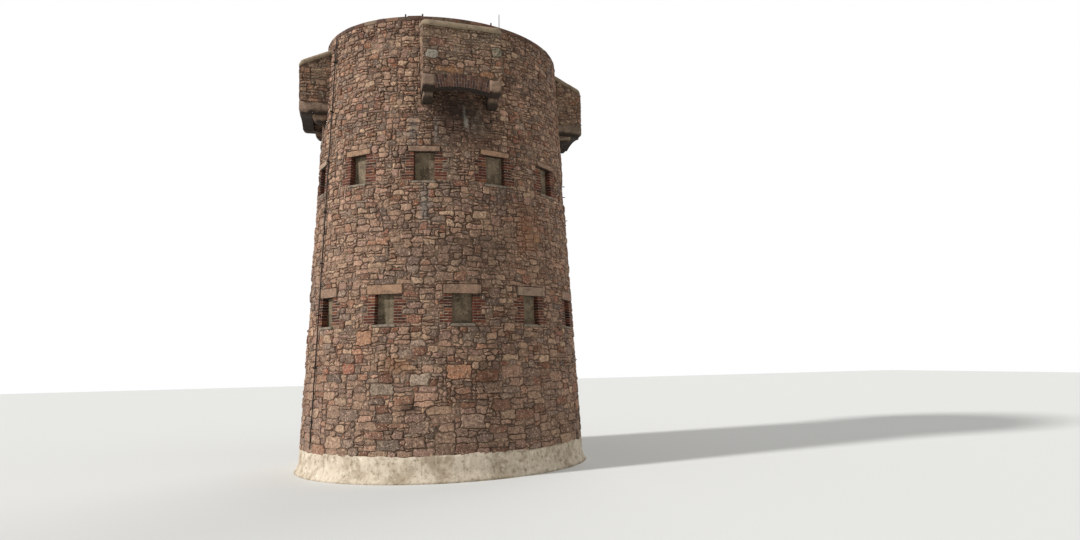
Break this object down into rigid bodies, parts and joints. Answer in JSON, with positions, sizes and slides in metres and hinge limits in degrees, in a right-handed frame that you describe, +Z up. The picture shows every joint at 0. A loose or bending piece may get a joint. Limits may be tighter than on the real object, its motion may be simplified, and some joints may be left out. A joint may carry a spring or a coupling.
{
  "type": "martello tower",
  "caption": "Round battered coast tower of granite rubble with brick-dressed loopholes in two rows and bracketed machicolations at the parapet.",
  "frame": {"origin": "centre of the base at the lowest ground level", "axes": "+Z up; the front machicolation faces -Y; +X to the right seen from the front"},
  "size_m": [8.4604, 8.4604, 12.69],
  "materials": {
    "granite_rubble": "split and roughly squared granite in lime mortar",
    "dressed_granite": "hammer-dressed granite",
    "coping_stone": "thin flat stones in mortar, weathered",
    "floor_stone": "flagstones",
    "red_brick": "hand-made brick in pale mortar",
    "sill_cement": "trowelled cement",
    "panel_render": "wood-floated cement render, damp stained",
    "cap_cement": "weathered cement with lichen and moss",
    "white_render": "flaking limewashed render",
    "floor_boards": "sawn boards",
    "door_planks": "tarred oak planks",
    "conductor_metal": "dull dark metal",
    "rusty_iron": "rusted wrought iron"
  },
  "bodies": {
    "root": {"door_leaf": "door_planks", "doorway_jambs": "dressed_granite", "doorway_lintel": "dressed_granite", "doorway_threshold": "dressed_granite", "first_floor": "floor_boards", "first_wall_back": "granite_rubble", "first_wall_front": "granite_rubble", "first_wall_left": "granite_rubble", "first_wall_right": "granite_rubble", "ground_floor": "floor_stone", "ground_wall_back": "granite_rubble", "ground_wall_front": "granite_rubble", "ground_wall_left": "granite_rubble", "ground_wall_right": "granite_rubble", "lightning_conductor": "conductor_metal", "lower_blocking_panels": "panel_render", "lower_brick_jambs": "red_brick", "lower_lintels": "dressed_granite", "lower_sills": "sill_cement", "machicolation_beams": "dressed_granite", "machicolation_brick_arches": "red_brick", "machicolation_caps": "cap_cement", "machicolation_corbels": "dressed_granite", "machicolation_walls_back": "granite_rubble", "machicolation_walls_front": "granite_rubble", "machicolation_walls_left": "granite_rubble", "machicolation_walls_right": "granite_rubble", "parapet_back": "granite_rubble", "parapet_coping": "coping_stone", "parapet_front": "granite_rubble", "parapet_left": "granite_rubble", "parapet_right": "granite_rubble", "plinth_render": "white_render", "rim_block": "coping_stone", "rim_irons": "rusty_iron", "roof_platform": "floor_stone", "second_floor": "floor_boards", "second_wall_back_left": "granite_rubble", "second_wall_back_right": "granite_rubble", "second_wall_front_left": "granite_rubble", "second_wall_front_right": "granite_rubble", "upper_blocking_panels": "panel_render", "upper_brick_jambs": "red_brick", "upper_lintels": "dressed_granite", "upper_sills": "sill_cement"}
  },
  "joints": []
}
